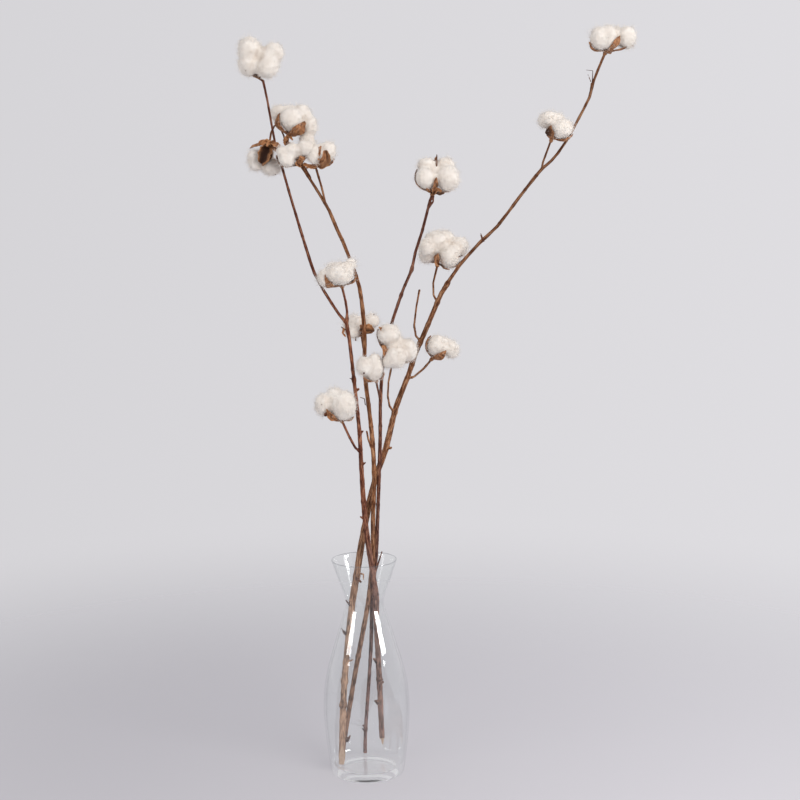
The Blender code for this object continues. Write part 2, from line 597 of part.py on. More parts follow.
def make_lint(number, foot, locks, plates):
    tufts = [make_lock(lock) for lock in locks]
    lint = combine(tufts[0], tufts[1:], "UNION")
    combine(lint, [make_seat(boll_axis(number))], "DIFFERENCE")
    combine(lint, [plate_cutter(*plate) for plate in plates], "DIFFERENCE")
    keep_largest_body(lint)
    lint.name = "lint_" + number
    place_mesh(lint, foot)
    dress(lint, "cotton_lint")


def main():
    clear_scene()
    make_vase()
    for name, (finish, shoots) in STEMS.items():
        make_stem(name, finish, shoots)
    for number, (foot, locks, valves) in BOLLS.items():
        plates = make_bur(number, foot, locks, valves)
        make_lint(number, foot, locks, plates)


main()
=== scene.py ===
# %% [markdown]
# # Dried cotton stems in a glass carafe
#
# This lesson dresses a packed model. Its solids already have the right sizes and places: a
# blown glass carafe, four dry stems, and fifteen bolls, each a woody bur that holds a tuft of
# lint. What is missing is what the eye looks for: round clear glass, wrinkled bark, thin
# curling valves and soft fibres. Each step takes one of these and builds it round the solids.

# %% The packed model
import math
import random

import bmesh
import bpy
from mathutils import Matrix, Vector, noise
from mathutils.bvhtree import BVHTree


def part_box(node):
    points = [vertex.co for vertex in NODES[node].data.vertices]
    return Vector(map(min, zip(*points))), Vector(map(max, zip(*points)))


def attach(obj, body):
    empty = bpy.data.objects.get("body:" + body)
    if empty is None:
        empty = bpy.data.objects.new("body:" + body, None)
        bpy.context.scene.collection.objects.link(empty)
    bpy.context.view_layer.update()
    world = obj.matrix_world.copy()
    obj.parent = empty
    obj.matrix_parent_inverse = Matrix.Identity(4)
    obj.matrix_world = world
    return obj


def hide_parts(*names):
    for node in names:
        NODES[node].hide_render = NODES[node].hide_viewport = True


MM = 0.001
SEED = 15
noise.seed_set(SEED)  # unseeded, noise_vector changes from run to run
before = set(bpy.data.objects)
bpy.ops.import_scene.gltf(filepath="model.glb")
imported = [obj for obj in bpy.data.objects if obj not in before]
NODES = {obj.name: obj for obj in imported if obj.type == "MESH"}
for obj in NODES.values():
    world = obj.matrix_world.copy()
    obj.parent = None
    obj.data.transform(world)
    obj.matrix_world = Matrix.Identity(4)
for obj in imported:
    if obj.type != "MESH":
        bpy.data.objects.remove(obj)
BOLLS = [name.removeprefix("bur_") for name in sorted(NODES) if name.startswith("bur_")]
STEMS = [name for name in sorted(NODES) if name.startswith("stem_")]
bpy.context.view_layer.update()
print("solids:", len(NODES), "bolls:", len(BOLLS), "stems:", STEMS)

# %% [markdown]
# ## The camera
#
# The bunch is almost a metre tall and is seen from a little above, with a long lens, so that
# the vase keeps its upright sides. The Standard view shows colours as they are.

# %% Camera
CAMERA_PLACE = Vector((0.0, -2.5, 0.882))  # in metres
CAMERA_YAW = math.radians(1.068)
CAMERA_PITCH = math.radians(9.48)
CAMERA_ROLL = math.radians(-0.878)
CAMERA_LENS = 95.32  # in mm


def aim(yaw, pitch, roll):
    """The camera's axes for a turn to the right, a nod down and a tilt of the head."""
    ahead = Vector((
        math.sin(yaw) * math.cos(pitch), math.cos(yaw) * math.cos(pitch), -math.sin(pitch)))
    level = Vector((math.cos(yaw), -math.sin(yaw), 0.0))
    across = math.cos(roll) * level + math.sin(roll) * level.cross(ahead)
    return Matrix((across, across.cross(ahead), -ahead)).transposed().to_4x4()


def add_object(name, data):
    """A new object in the scene."""
    made = bpy.data.objects.new(name, data)
    bpy.context.scene.collection.objects.link(made)
    return made


camera = add_object("camera", bpy.data.cameras.new("camera"))
camera.data.lens = CAMERA_LENS
camera.matrix_world = Matrix.Translation(CAMERA_PLACE) @ aim(CAMERA_YAW, CAMERA_PITCH, CAMERA_ROLL)
bpy.context.scene.camera = camera
bpy.context.scene.view_settings.view_transform = "Standard"
print("camera at", tuple(camera.location))

# %% [markdown]
# ## A small language for finishes
#
# A finish is a set of nodes round one shader. Written out, the nodes hide the idea, so two
# small classes let the idea be written as a sum: an Amount is what a node's socket gives, and
# adding, subtracting or multiplying two of them adds a Math node. A Finish makes the nodes.


# %% Amounts and finishes
class Amount:
    """What one socket gives, which can be used in sums."""

    def __init__(self, finish, socket):
        self.finish = finish
        self.socket = socket

    def __add__(self, other):
        return self.finish.maths("ADD", self, other)

    def __sub__(self, other):
        return self.finish.maths("SUBTRACT", self, other)

    def __rsub__(self, other):
        return self.finish.maths("SUBTRACT", other, self)

    def __mul__(self, other):
        return self.finish.maths("MULTIPLY", self, other)

    __radd__ = __add__
    __rmul__ = __mul__


class Finish:
    """One material, made node by node round its Principled shader."""

    def __init__(self, name, **constants):
        self.material = bpy.data.materials.new(name)
        self.material.use_nodes = True
        self.tree = self.material.node_tree
        self.shader = self.tree.nodes["Principled BSDF"]
        for socket, value in constants.items():
            self.shader.inputs[socket.replace("_", " ")].default_value = value

    def node(self, kind, settings=None, sockets=None, output=0):
        """Adds a node, sets it up, feeds its sockets, and gives one of its outputs."""
        made = self.tree.nodes.new("ShaderNode" + kind)
        for name, value in (settings or {}).items():
            if name == "stops":
                self.set_stops(made.color_ramp.elements, value)
            else:
                setattr(made, name, value)
        for name, value in (sockets or {}).items():
            self.feed(made.inputs[name], value)
        return Amount(self, made.outputs[output])

    def set_stops(self, elements, stops):
        """Sets up a colour ramp from (position, colour) pairs."""
        while len(elements) < len(stops):
            elements.new(0.5)
        for element, (position, colour) in zip(elements, stops):
            element.position = position
            element.color = (*colour, 1.0)

    def feed(self, socket, value):
        """Links an Amount to the socket, or sets a plain value on it."""
        if isinstance(value, Amount):
            self.tree.links.new(value.socket, socket)
        else:
            socket.default_value = value

    def maths(self, operation, first, second):
        return self.node("Math", {"operation": operation}, {0: first, 1: second})

    def attribute(self, name, output=2):
        """A number that each point of the mesh carries. Output 1 reads it as a vector."""
        return self.node("Attribute", {"attribute_name": name}, output=output)

    def place(self):
        """The point on the finished object, in metres."""
        return self.node("TexCoord", output=3)

    def height(self):
        """The point's height, in metres."""
        return self.node("SeparateXYZ", sockets={0: self.place()}, output=2)

    def noise(self, vector, scale, detail=3.0, roughness=0.5):
        return self.node("TexNoise", sockets={
            "Vector": vector, "Scale": scale, "Detail": detail, "Roughness": roughness})

    def step(self, value, low, high):
        """0 below low and 1 above high, with a smooth rise between them."""
        return self.node("MapRange", {"interpolation_type": "SMOOTHSTEP"}, {
            "Value": value, "From Min": low, "From Max": high})

    def ramp(self, value, stops):
        """The colour that the stops give for each value."""
        return self.node("ValToRGB", {"stops": stops}, {0: value})

    def mix(self, factor, first, second):
        """A blend of two colours."""
        first, second = [
            colour if isinstance(colour, Amount) else (*colour, 1.0) for colour in (first, second)]
        return self.node("Mix", {"data_type": "RGBA"}, {0: factor, 6: first, 7: second}, output=2)

    def bump(self, height, distance, strength=1.0):
        """Small relief: distance is how high a height of 1 stands, in metres."""
        return self.node("Bump", sockets={
            "Height": height, "Distance": distance, "Strength": strength})

    def wear(self, **sockets):
        """Feeds the shader's own sockets."""
        for name, value in sockets.items():
            self.feed(self.shader.inputs[name.replace("_", " ")], value)


print("finish:", [name for name in vars(Finish) if not name.startswith("_")])

# %% [markdown]
# ## The studio
#
# The bunch stands on a pale matt floor that runs out into an even, slightly cool backdrop.
# Here the floor is a disc that turns clear towards its edge, so that it melts into the world
# behind it from every side and shows no horizon. Its colour has light and shade painted on:
# darker on the left and lighter on the right, as if lit more strongly from the right.

# %% The floor
FLOOR_REACH = 1.4  # metres from the middle to the edge
FLOOR_SOLID = 0.25  # metres to where it turns clearer
FLOOR_STEPS = 96
# painted light and shade: the floor's colour is dim on the left and bright on the right
FLOOR_PAINTED_SHADE = (0.57, 0.565, 0.60)
FLOOR_PAINTED_LIGHT = (0.70, 0.695, 0.735)
FLOOR_LIGHT_SWEEP = (-0.5, 0.6)  # metres across, from the painted shade on the left to the painted light on the right


def make_floor():
    shape = bmesh.new()
    bmesh.ops.create_circle(shape, cap_ends=True, segments=FLOOR_STEPS, radius=FLOOR_REACH)
    mesh = bpy.data.meshes.new("floor")
    shape.to_mesh(mesh)
    shape.free()
    floor = add_object("floor", mesh)
    paper = Finish("floor_paper", Roughness=0.9, Specular_IOR_Level=0.1)
    across = paper.node("SeparateXYZ", sockets={0: paper.place()})
    away = paper.node("VectorMath", {"operation": "LENGTH"}, {0: paper.place()}, output=1)
    # painted light: the colour sweeps from painted shade on the left to painted light on the right
    paper.wear(
        Base_Color=paper.mix(paper.step(across, *FLOOR_LIGHT_SWEEP), FLOOR_PAINTED_SHADE, FLOOR_PAINTED_LIGHT),
        Alpha=1 - paper.step(away, FLOOR_SOLID, FLOOR_REACH))
    mesh.materials.append(paper.material)


make_floor()
print("floor reaches", FLOOR_REACH, "m")

# %% The backdrop
WORLD_COLOUR = (0.70, 0.69, 0.715)
WORLD_SWEEPS = {  # axis: (from, to, strength at the one, strength at the other)
    "X": (-0.25, 0.25, 0.94, 1.06),
    "Y": (-1.0, 0.6, 0.55, 1.0),
}


def make_world():
    """An even backdrop, a little brighter on the right and dimmer behind the camera."""
    world = bpy.data.worlds.new("studio")
    world.use_nodes = True
    tree = world.node_tree
    way = tree.nodes.new("ShaderNodeSeparateXYZ")
    tree.links.new(tree.nodes.new("ShaderNodeTexCoord").outputs["Generated"], way.inputs[0])
    strength = tree.nodes.new("ShaderNodeMath")
    strength.operation = "MULTIPLY"
    for factor, (axis, limits) in enumerate(WORLD_SWEEPS.items()):
        sweep = tree.nodes.new("ShaderNodeMapRange")
        for socket, value in zip(("From Min", "From Max", "To Min", "To Max"), limits):
            sweep.inputs[socket].default_value = value
        tree.links.new(way.outputs[axis], sweep.inputs["Value"])
        tree.links.new(sweep.outputs[0], strength.inputs[factor])
    backdrop = tree.nodes["Background"]
    backdrop.inputs["Color"].default_value = (*WORLD_COLOUR, 1.0)
    tree.links.new(strength.outputs[0], backdrop.inputs["Strength"])
    bpy.context.scene.world = world


make_world()
print("backdrop colour", WORLD_COLOUR)

# %% [markdown]
# ## The lights
#
# On each side of the camera stands a soft box, leaning a little outwards, which shows as an
# upright white streak in the glass, and a dimmer one beside it, which shows in the flare. Two
# large ones behind them light the bolls. What shows well in glass would be too bright for
# cotton, so the boxes only light what shines, and the large fills only what is matt.

# %% Soft boxes
SOFT_BOXES = {  # name: (turn from the front and rise in degrees, width and height in m, watts)
    "left_box": (-65, 15.1, 0.48, 0.28, 4.2),
    "left_side_box": (-80, 17, 0.26, 0.30, 0.5),
    "right_box": (69, 14.7, 0.46, 0.29, 8.2),
    "right_side_box": (79, 17, 0.26, 0.30, 0.9),
}
FILLS = {  # the same measures
    "left_fill": (-50, 24, 1.6, 1.6, 11.5),
    "right_fill": (38, 26, 1.6, 1.6, 36.0),
}
FILL_COLOUR = (1.0, 0.965, 0.93)
BOX_SLANT = math.radians(8)  # each light's outer end is lower
BOX_AIM = Vector((0.0, 0.0, 0.2))  # the vase's belly
BOX_DISTANCE = 1.5
FILL_AIM = Vector((0.0, 0.0, 0.5))
FILL_DISTANCE = 2.4


def make_soft_box(name, target, distance, turn, rise, width, height, power):
    """A light that faces its target and isn't seen itself, not even through glass."""
    turn, rise = math.radians(turn), math.radians(rise)
    way = Vector((
        math.sin(turn) * math.cos(rise), -math.cos(turn) * math.cos(rise), math.sin(rise)))
    light = bpy.data.lights.new(name, "AREA")
    light.shape = "RECTANGLE"
    light.size, light.size_y = width, height
    light.energy = power
    box = add_object(name, light)
    slant = Matrix.Rotation(-math.copysign(BOX_SLANT, turn), 4, "Z")
    box.matrix_world = Matrix.Translation(target + way * distance) @ (
        way.to_track_quat("Z", "Y").to_matrix().to_4x4() @ slant)
    box.visible_camera = False
    box.visible_transmission = False
    return box


for name, settings in SOFT_BOXES.items():
    make_soft_box(name, BOX_AIM, BOX_DISTANCE, *settings).visible_diffuse = False
for name, settings in FILLS.items():
    fill = make_soft_box(name, FILL_AIM, FILL_DISTANCE, *settings)
    fill.visible_glossy = False
    fill.data.color = FILL_COLOUR
print("lights:", [*SOFT_BOXES, *FILLS])

# %% [markdown]
# ## From solids to pieces
#
# A packed solid is loose triangles. It is copied and its doubled points are merged, and the
# copy is then worked on as a bmesh. The finished piece rides on the model's one body and
# stands for the solid, which is hidden.


# %% Copies of solids
WELD = 1e-6  # metres: closer points are one
SMOOTH_IN = 0.5  # alone, this melts small forms
SMOOTH_OUT = -0.52  # by turns with the other, this rounds facets off but keeps the thickness


def welded(node):
    """A copy of a packed solid, with its doubled points merged."""
    shape = bmesh.new()
    shape.from_mesh(NODES[node].data)
    bmesh.ops.remove_doubles(shape, verts=shape.verts[:], dist=WELD)
    return shape


def refilled(shape, holder):
    """The shape, filled anew from an object's finished mesh. The object is removed."""
    evaluated = holder.evaluated_get(bpy.context.evaluated_depsgraph_get())
    mesh = bpy.data.meshes.new_from_object(evaluated)
    shape.clear()
    shape.from_mesh(mesh)
    bpy.data.objects.remove(holder)
    bpy.data.meshes.remove(mesh)
    return shape


def modified(shape, kind, **settings):
    """The shape after one modifier."""
    mesh = bpy.data.meshes.new("work")
    shape.to_mesh(mesh)
    holder = add_object("work", mesh)
    modifier = holder.modifiers.new(kind, kind)
    for name, value in settings.items():
        setattr(modifier, name, value)
    refilled(shape, holder)
    bpy.data.meshes.remove(mesh)
    return shape


def smooth(shape, rounds, *factors):
    """Moves each point towards its neighbours' middle, or away from it, again and again."""
    for factor in factors * rounds:
        bmesh.ops.smooth_vert(
            shape, verts=shape.verts[:], factor=factor,
            use_axis_x=True, use_axis_y=True, use_axis_z=True)
    shape.normal_update()


def add_ball(shape, place, radii, axis=None):
    """A ball with radii in mm. If there is an axis, the third radius lies along it."""
    ball = bmesh.ops.create_icosphere(shape, subdivisions=3, radius=1.0)["verts"]
    bmesh.ops.scale(shape, vec=Vector(radii) * MM, verts=ball)
    if axis:
        turned = axis.to_track_quat("Z", "Y").to_matrix()
        bmesh.ops.rotate(shape, cent=(0, 0, 0), matrix=turned, verts=ball)
    bmesh.ops.translate(shape, vec=place, verts=ball)


print("points of the vase:", len(welded("vase").verts))


# %% Pieces
def show(name, shape, finish, slot, *nodes):
    """Makes the shape a piece of the object, which stands for these packed solids."""
    mesh = bpy.data.meshes.new(name)
    shape.to_mesh(mesh)
    shape.free()
    mesh.materials.append(finish.material)
    mesh.shade_smooth()
    piece = add_object(name, mesh)
    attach(piece, "root")
    if nodes:
        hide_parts(*nodes)
    print(name, len(mesh.polygons), "faces")
    return piece


# %% [markdown]
# ## The carafe
#
# A carafe is blown into a mould: a thick, slightly domed bottom, a thin wall, and a rim that
# was melted round. It is the same all round, so half of its section is drawn and spun. Glass
# shows every facet, so the section is drawn finely and the spin takes many steps.

# %% The glass's section
OUTLINE = [  # (radius, height) of the outer wall in mm, from the foot up
    (40.0, 0.4), (44.0, 3.0), (46.4, 16.0), (49.7, 42.0), (52.0, 70.0), (52.3, 93.0),
    (50.4, 114.0), (46.3, 135.0), (40.7, 154.5), (32.5, 182.0), (26.2, 202.0), (23.4, 211.0),
    (22.5, 218.0), (24.4, 226.0), (31.6, 246.0), (39.5, 269.0),
]
FOOT_RING = [(0.0, 1.6), (20.0, 1.5), (32.0, 1.0), (35.0, 0.3), (37.5, 0.0)]
INNER_FLOOR = [(40.9, 12.4), (38.6, 10.6), (35.0, 10.0), (18.0, 10.3), (0.0, 10.5)]
RIM = [(39.4, 269.7), (39.0, 270.0), (38.6, 269.8)]
WALL = 2.2  # mm thick low down
RIM_WALL = 1.0  # mm thick at the mouth
THIN_FROM = 150.0  # height in mm from which the wall thins
THIN_OVER = 100.0  # mm of height over which it does
INNER_SPAN = (15.0, 268.0)  # heights in mm between which the inside follows the outside
SECTION_STEP = 3.0  # mm from point to point
GLASS_STEPS = 160  # round the axis


def smooth_line(route, spacing):
    """Points of a Catmull-Rom line through the route, about one spacing apart."""
    knots = [Vector(point) for point in route]
    padded = [knots[0] * 2 - knots[1], *knots, knots[-1] * 2 - knots[-2]]
    points = []
    for before, start, end, after in zip(padded, padded[1:], padded[2:], padded[3:]):
        steps = max(1, round((end - start).length / spacing))
        for step in range(steps):
            t = step / steps
            points.append(0.5 * (
                2 * start
                + (end - before) * t
                + (2 * before - 5 * start + 4 * end - after) * t ** 2
                + (3 * start - before - 3 * end + after) * t ** 3))
    return [*points, knots[-1]]


def glass_section():
    """The half section, lying flat: from the foot's middle, up the outside, down the inside."""
    outer = smooth_line([(r, z, 0.0) for r, z in OUTLINE], SECTION_STEP)
    inner = []
    for before, here, after in zip(outer, outer[1:], outer[2:]):
        along = (after - before).normalized()
        thin = min(1.0, max(0.0, (here.y - THIN_FROM) / THIN_OVER))
        place = here + Vector((-along.y, along.x, 0.0)) * (WALL + (RIM_WALL - WALL) * thin)
        if INNER_SPAN[0] < place.y < INNER_SPAN[1]:
            inner.append(place)
    foot, rim, floor = [
        [Vector((r, z, 0.0)) for r, z in part] for part in (FOOT_RING, RIM, INNER_FLOOR)]
    return [*foot, *outer, *rim, *reversed(inner), *floor]


print("points of the section:", len(glass_section()))


# %% Spinning the glass
def make_glass(finish):
    """The section, stood upright and spun round the vase's axis."""
    shape = bmesh.new()
    corners = [shape.verts.new((p.x * MM, 0.0, p.y * MM)) for p in glass_section()]
    for lower, upper in zip(corners, corners[1:]):
        shape.edges.new((lower, upper))
    bmesh.ops.spin(
        shape, geom=shape.verts[:] + shape.edges[:], axis=(0, 0, 1), cent=(0, 0, 0),
        angle=math.tau, steps=GLASS_STEPS, use_merge=True)
    bmesh.ops.remove_doubles(shape, verts=shape.verts[:], dist=WELD)
    bmesh.ops.recalc_face_normals(shape, faces=shape.faces[:])
    return show("carafe", shape, finish, "clear_glass", "vase")


# %% [markdown]
# ## Clear glass
#
# Glass bends light as it enters and back as it leaves. In a thin wall the two undo each other,
# so the wall is simply clear where it is looked straight through, and a mirror, and greyer,
# where it is looked along. The flared mouth is thinner and shines less, and the melted rim
# catches more light. Only the thick base shows the bending, so its faces alone get a solid
# glass, a little rough to spread the light. Clear glass barely throws a shadow: here, none.

# %% The glass's finishes
GLASS_CLEAR = (0.985, 0.99, 0.988)
GLASS_SHINE = 0.065
GLASS_DEPTH = (0.68, 0.69, 0.70)  # the tint where the wall is looked along
RIM_CLEAR = (0.70, 0.71, 0.72)
RIM_SHINE = 0.25
MIRROR_POWER = 4.0  # how late the wall turns to a mirror as it turns edge on
MIRROR_SHARE = 0.75
DEPTH_POWER = 9.0  # how late it turns grey
FLARE = (205 * MM, 225 * MM)  # heights where the flare starts, and is full
FLARE_DIMMING = 0.5


def glass_finish(name, shine, tint):
    """Clear where looked through, a mirror where looked along. The thin flare shines less."""
    glass = Finish(name, Roughness=0.0, Metallic=1.0, Base_Color=(1.0, 1.0, 1.0, 1.0))
    edge_on = glass.node("LayerWeight", sockets={"Blend": 0.5}, output=1)
    flare = glass.step(glass.height(), *FLARE)
    mirror = glass.maths("POWER", edge_on, MIRROR_POWER) * MIRROR_SHARE + shine
    clear = glass.node("BsdfTransparent", sockets={"Color": (*tint, 1.0)})
    deep = glass.node("BsdfTransparent", sockets={"Color": (*GLASS_DEPTH, 1.0)})
    seen = glass.node("MixShader", sockets={
        0: glass.maths("POWER", edge_on, DEPTH_POWER), 1: clear, 2: deep})
    both = glass.node("MixShader", sockets={
        0: mirror * (1 - flare * FLARE_DIMMING), 1: seen,
        2: Amount(glass, glass.shader.outputs[0])})
    glass.feed(glass.tree.nodes["Material Output"].inputs["Surface"], both)
    return glass


clear_glass = glass_finish("clear_glass_finish", GLASS_SHINE, GLASS_CLEAR)
rim_glass = glass_finish("rim_glass_finish", RIM_SHINE, RIM_CLEAR)
base_glass = Finish(
    "base_glass_finish", Base_Color=(0.975, 0.98, 0.978, 1.0), Roughness=0.12, IOR=1.5,
    Transmission_Weight=1.0)
print("nodes of the clear glass:", len(clear_glass.tree.nodes))

# %% The glass's parts
BASE_TOP = 11 * MM
BASE_RADIUS = 38.2 * MM
RIM_BOTTOM = 269.1 * MM
WALL_FACE, BASE_FACE, RIM_FACE = range(3)  # places in the carafe's list of finishes

carafe = make_glass(clear_glass)
carafe.data.materials.append(base_glass.material)
carafe.data.materials.append(rim_glass.material)
for face in carafe.data.polygons:
    if face.center.z < BASE_TOP and face.center.xy.length < BASE_RADIUS:
        face.material_index = BASE_FACE
    else:
        face.material_index = RIM_FACE if face.center.z > RIM_BOTTOM else WALL_FACE
carafe.visible_shadow = False
carafe.visible_diffuse = False

# %% [markdown]
# ## Bark
#
# A dry cotton stem is a thin, wrinkled skin over pale wood. Its marks run along it: fine
# furrows, rust-coloured streaks and small pale pores. A pattern that follows a stem needs to
# know where the middle of the stem is, so a line is shot from each point of the surface
# straight through to the other side. Half way along it lies the core.

# %% The core of a stem
CORE_START = 0.05  # mm under the skin, where the line starts
CORE_SEARCH = 12 * MM
CORE_LOST = 4 * MM  # the thickness where it hits nothing
CORE_ROUNDS = 4


def cores(shape):
    """For each point, the middle of the stem behind it, evened out with its neighbours'."""
    tree = BVHTree.FromBMesh(shape)
    shape.verts.index_update()
    found = []
    for vertex in shape.verts:
        inside = vertex.co - vertex.normal * CORE_START * MM
        hit = tree.ray_cast(inside, -vertex.normal, CORE_SEARCH)
        depth = hit[3] if hit[0] else CORE_LOST
        found.append(vertex.co - vertex.normal * depth / 2)
    neighbours = [
        [edge.other_vert(vertex).index for edge in vertex.link_edges] for vertex in shape.verts]
    for _ in range(CORE_ROUNDS):
        found = [
            sum((found[index] for index in beside), core) / (1 + len(beside))
            for core, beside in zip(found, neighbours)]
    return found


print("deepest look:", CORE_SEARCH, "m")

# %% [markdown]
# The core gives every point of the bark two measures: where it lies round the stem, and how
# far along. A noise that changes quickly with the first and slowly with the second runs in
# streaks. Rings of scar tissue are left where leaves grew, at almost even steps, and the joints
# from which twigs grew, or were cut, are thick. Those have their places in a list.

# %% Knots and scars
KNOT_REACH = 4.5 * MM
KNOTS = [  # (place, how far the bark stands out there) in mm
    ((105, 11, 602), 1.3), ((91, 12, 580), 0.8), ((70, 10, 533), 0.9), ((60, 9, 488), 0.7),
    ((37, 8, 449), 0.9), ((-15, -35, 566), 0.9), ((50, 3, 590), 0.7), ((64, 4, 620), 0.6),
    ((-9, -31, 495), 0.8), ((-9, -31, 470), 0.7), ((-106, -20, 845), 0.6),
    ((-9, -1, 248), 0.9), ((-20, -1, 214), 0.8), ((-25, 0, 179), 0.7), ((-23, 0, 141), 0.6),
    ((-27, 1, 117), 1.0), ((-28, 1, 87), 1.0), ((10, 2, 222), 1.5), ((-12, 12, 145), 1.0),
    ((13, 21, 134), 0.8), ((17, 24, 110), 0.8), ((15, 28, 80), 0.9), ((-25, 16, 37), 0.9),
    ((-3, 35, 43), 0.7),
]
SCAR_PITCH = 23 * MM  # from ring to ring
SCAR_WIDTH = 1.6 * MM
SCAR_HEIGHT = 0.45 * MM
SCAR_WANDER = 0.9  # how far out of step, in pitches
SCAR_TILT = 14  # how fast that changes, per metre
SCAR_SEED = 3.7
SCAR_MEAN = 0.4  # the mean strength of a ring


def knot(middle):
    """How far the joints near this place lift the bark, in metres."""
    return sum(
        height * MM * max(0.0, 1 - ((middle - Vector(place) * MM).length / KNOT_REACH) ** 2)
        for place, height in KNOTS)


def scar(middle):
    """The strength of a ring where a leaf once grew, and 0 between the rings."""
    rise = middle.z / SCAR_PITCH + noise.noise(middle * SCAR_TILT) * SCAR_WANDER
    away = abs(rise - round(rise)) * SCAR_PITCH
    strength = SCAR_MEAN + noise.noise(Vector((round(rise) * SCAR_SEED, 0, 0)))
    return max(0.0, strength) * math.exp(-(away / SCAR_WIDTH) ** 2)


print("knots:", len(KNOTS))

# %% [markdown]
# The packed stem is rebuilt as an even grid and its facets are smoothed off. The streaks then
# lift the skin into furrows, and a slow noise swells it a little here and there. Smoothing
# wears the thin twigs away, so they gain a little back. Where a stem was cut, at its foot, the
# skin ends and bare wood shows: the long stem by a slanting slice, the forked one splintered.

# %% Bark shape
BARK_VOXEL = 0.7 * MM
BARK_ROUNDS = 6
ACROSS = 1.0 / MM  # how fast the grain changes round
ALONG = 0.12 / MM  # and along it
FURROW_SCALE = 0.9
FURROW_NOISE = (0.7, 2.0, 3)  # (fall, gap, octaves)
FURROW = 0.16 * MM
SWELL_SCALE = 110  # per metre
SWELLING = 0.35 * MM
THIN = 3 * MM  # the radius of a thin stem
THIN_GAIN = 0.4 * MM
CUT_TOP = 38.5 * MM  # cuts are looked for below this height
CUT_FLAT = 0.8  # how squarely a cut looks down
CUT_WAY = Vector((0.0, -27.0, -7.0)).normalized()  # the way the slice looks
CUT_SQUARE = 0.93  # how squarely its faces look that way
SPLINTER_TOP = 32 * MM


def cut_share(node, vertex):
    """1 where the point lies on bare wood, and 0 on bark."""
    down = vertex.normal.dot((0.0, 0.0, -1.0)) > CUT_FLAT
    sliced = node == "stem_long" and vertex.normal.dot(CUT_WAY) > CUT_SQUARE
    splintered = node == "stem_forked" and vertex.co.z < SPLINTER_TOP
    return 1.0 if splintered or vertex.co.z < CUT_TOP and (down or sliced) else 0.0


def bark_shape(node):
    """The stem with its furrows, and on each point its grain, scars and cuts."""
    shape = modified(welded(node), "REMESH", mode="VOXEL", voxel_size=BARK_VOXEL)
    smooth(shape, BARK_ROUNDS, SMOOTH_IN, SMOOTH_OUT)
    core = cores(shape)
    grain = shape.verts.layers.float_vector.new("grain")
    cut = shape.verts.layers.float.new("cut")
    ring = shape.verts.layers.float.new("ring")
    lifts = []
    for vertex, middle in zip(shape.verts, core):
        out = vertex.co - middle
        vertex[grain] = out * ACROSS + middle * ALONG
        vertex[cut] = cut_share(node, vertex)
        vertex[ring] = scar(middle)
        furrows = noise.fractal(vertex[grain] * FURROW_SCALE, *FURROW_NOISE)
        swell = noise.noise(middle * SWELL_SCALE)
        thick = min(1.0, out.length / THIN)
        relief = furrows * FURROW + swell * SWELLING + vertex[ring] * SCAR_HEIGHT
        lifts.append(relief * thick * (1 - vertex[cut]) + (1 - thick) * THIN_GAIN + knot(middle))
    for vertex, lift in zip(shape.verts, lifts):
        vertex.co += vertex.normal * lift
    shape.normal_update()
    return shape


print("a furrow is", FURROW, "m deep")

# %% [markdown]
# The finish reads the same grain. Its streaks run from nearly black furrows over warm skin to
# pale ridges, and small pale pores lie between. Low down, where the stems stand in the vase, a
# pale grey is painted over the skin: a painted reflection, the milky veil that the glass lays
# over them. High up the skin is darker. The four stems differ in their tones.

# %% Bark finish
PAINTED_VEIL_HEIGHTS = (0.16, 0.36)  # painted reflection of the glass: all of it below the one height, none above the other, in metres
PAINTED_VEIL_SHARE = 0.85
DARKER = (0.45, 0.75)  # no darker below the one height, most above the other
WOOD_DARK = (0.42, 0.28, 0.19)
WOOD_PALE = (0.66, 0.50, 0.38)


def bark_finish(name, dark, warm, pale, grey):
    """Streaked bark: dark furrows, warm skin, pale pores, and a foot painted grey as the glass's
    reflection.
    """
    bark = Finish(name, Roughness=0.7, Specular_IOR_Level=0.2)
    grain = bark.attribute("grain", output=1)
    streaks = bark.noise(grain, scale=0.8, detail=5.0, roughness=0.6)
    patches = bark.noise(bark.place(), scale=55.0, detail=2.0)
    skin = bark.ramp(streaks, [(0.40, dark), (0.50, warm), (0.62, pale)])
    blotched = bark.mix(bark.step(patches, 0.45, 0.7) * 0.6, skin, dark)
    # painted reflection: the glass's pale veil, painted grey over the foot of the stem
    veil_dark, veil_pale = [[share * tone for tone in grey] for share in (0.3, 1.7)]
    painted_veil = bark.ramp(
        streaks * 0.6 + patches * 0.4, [(0.42, veil_dark), (0.50, grey), (0.60, veil_pale)])
    foot = 1 - bark.step(bark.height(), *PAINTED_VEIL_HEIGHTS)
    veiled = bark.mix(foot * PAINTED_VEIL_SHARE, blotched, painted_veil)
    high = bark.step(bark.height(), *DARKER)
    ringed = bark.mix(high * 0.45 + bark.attribute("ring") * 0.5, veiled, dark)
    pores = bark.node("TexVoronoi", {"feature": "F1"}, {"Vector": grain, "Scale": 0.55})
    pored = bark.mix((1 - bark.step(pores, 0.10, 0.2)) * 0.55, ringed, pale)
    wood_grain = bark.noise(bark.place(), scale=900.0, detail=3.0)
    wood = bark.ramp(wood_grain, [(0.3, WOOD_DARK), (0.7, WOOD_PALE)])
    wrinkles = streaks + bark.noise(grain, scale=2.4, detail=4.0, roughness=0.6) * 0.6
    bark.wear(
        Base_Color=bark.mix(bark.attribute("cut"), pored, wood),
        Roughness=0.62 + streaks * 0.25,
        Normal=bark.bump(wrinkles, 0.55 * MM, strength=0.8))
    return bark


print("wood tones:", WOOD_DARK, WOOD_PALE)

